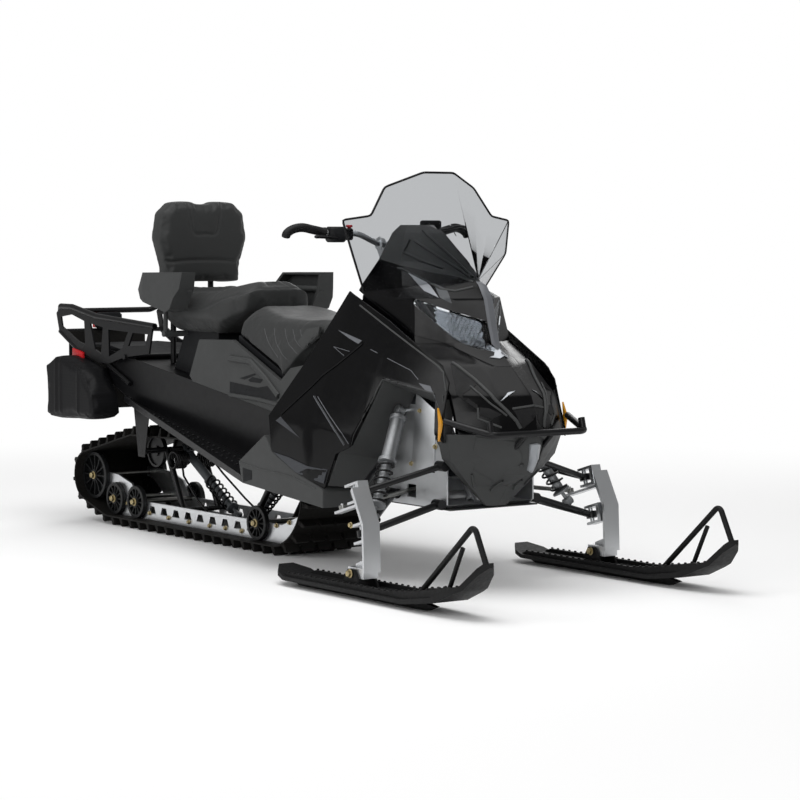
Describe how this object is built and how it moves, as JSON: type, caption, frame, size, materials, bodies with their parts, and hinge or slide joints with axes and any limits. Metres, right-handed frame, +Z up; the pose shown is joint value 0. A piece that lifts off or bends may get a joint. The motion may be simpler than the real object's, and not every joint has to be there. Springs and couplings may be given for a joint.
{
  "type": "two-up touring snowmobile",
  "caption": "Two-up touring snowmobile with a tracked rear skid, steered skis, a windshield, a passenger backrest, a rear rack and side bags.",
  "frame": {"origin": "on the floor under the middle of the machine", "axes": "+X forward, +Y to the rider's left, +Z up"},
  "size_m": [3.436, 1.236, 1.467],
  "materials": {
    "black_panel": "gloss",
    "charcoal": "matte",
    "dark_plastic": "matte",
    "lens": "clear",
    "smoke": "smoked",
    "red_lens": "gloss",
    "silver": "satin",
    "bright_rail": "satin",
    "black_metal": "satin",
    "grey_metal": "satin",
    "axle_steel": "brushed",
    "seat_vinyl": "matte",
    "bag_cloth": "matte",
    "track_rubber": "matte",
    "grip_rubber": "matte",
    "ski_plastic": "matte"
  },
  "bodies": {
    "chassis": {"backrest": "seat_vinyl", "backrest_frame": "black_metal", "belly_pan": "charcoal", "bulkhead": "silver", "cargo_deck": "dark_plastic", "cargo_rack": "black_metal", "console": "charcoal", "cowl": "charcoal", "drive_axle": "dark_plastic", "driver_seat": "seat_vinyl", "drop_brackets": "black_metal", "engine_block": "grey_metal", "front_bumper": "black_metal", "front_shocks": "grey_metal", "fuel_tank": "dark_plastic", "hand_holds": "charcoal", "headlights": "lens", "lower_arms": "black_metal", "nose_fairing": "charcoal", "nose_mask": "black_panel", "panniers": "bag_cloth", "passenger_base": "dark_plastic", "passenger_seat": "seat_vinyl", "rail_wheels": "dark_plastic", "running_boards": "black_metal", "seat_trims": "charcoal", "side_panel_left": "black_panel", "side_panel_right": "black_panel", "skid_arms": "black_metal", "skid_shocks": "grey_metal", "slide_rails": "bright_rail", "snow_flap": "track_rubber", "tail_lamp": "red_lens", "toe_holds": "charcoal", "track": "track_rubber", "tunnel": "black_metal", "upper_arms": "black_metal", "upper_frame": "grey_metal", "windshield": "smoke"},
    "steering": {"steering_post": "silver", "handlebar": "silver", "bar_controls": "dark_plastic", "grips": "grip_rubber"},
    "spindle_r": {"spindle_right": "silver"},
    "spindle_l": {"spindle_left": "silver"},
    "ski_r": {"ski_right": "ski_plastic"},
    "ski_l": {"ski_left": "ski_plastic"},
    "tie_r": {"tie_rod_right": "axle_steel"},
    "tie_l": {"tie_rod_left": "axle_steel"}
  },
  "joints": [
    {"name": "steering", "type": "hinge", "parent": "chassis", "child": "steering", "pos_m": [0.39, 0, 1.216], "axis": [-0.5, 0, 0.866], "range_deg": [-32, 32]},
    {"name": "kingpin_right", "type": "hinge", "parent": "chassis", "child": "spindle_r", "pos_m": [0.97, -0.516, 0.215], "axis": [-0.2841, 0, 0.9588], "range_deg": [-32, 32]},
    {"name": "kingpin_left", "type": "hinge", "parent": "chassis", "child": "spindle_l", "pos_m": [0.97, 0.516, 0.215], "axis": [-0.2841, 0, 0.9588], "range_deg": [-32, 32]},
    {"name": "tie_joint_right", "type": "hinge", "parent": "spindle_r", "child": "tie_r", "pos_m": [0.85017, -0.516, 0.28501], "axis": [-0.2841, 0, 0.9588], "range_deg": [-32, 32]},
    {"name": "tie_joint_left", "type": "hinge", "parent": "spindle_l", "child": "tie_l", "pos_m": [0.85017, 0.516, 0.28501], "axis": [-0.2841, 0, 0.9588], "range_deg": [-32, 32]},
    {"name": "ski_rock_right", "type": "hinge", "parent": "spindle_r", "child": "ski_r", "pos_m": [0.99, -0.54, 0.084], "axis": [0, 1, 0], "range_deg": [-12, 12]},
    {"name": "ski_rock_left", "type": "hinge", "parent": "spindle_l", "child": "ski_l", "pos_m": [0.99, 0.54, 0.084], "axis": [0, 1, 0], "range_deg": [-12, 12]}
  ],
  "couplings": [
    {"joint": "kingpin_right", "follows": "steering", "ratio": 1},
    {"joint": "kingpin_left", "follows": "steering", "ratio": 1},
    {"joint": "tie_joint_right", "follows": "steering", "ratio": -1},
    {"joint": "tie_joint_left", "follows": "steering", "ratio": -1}
  ]
}
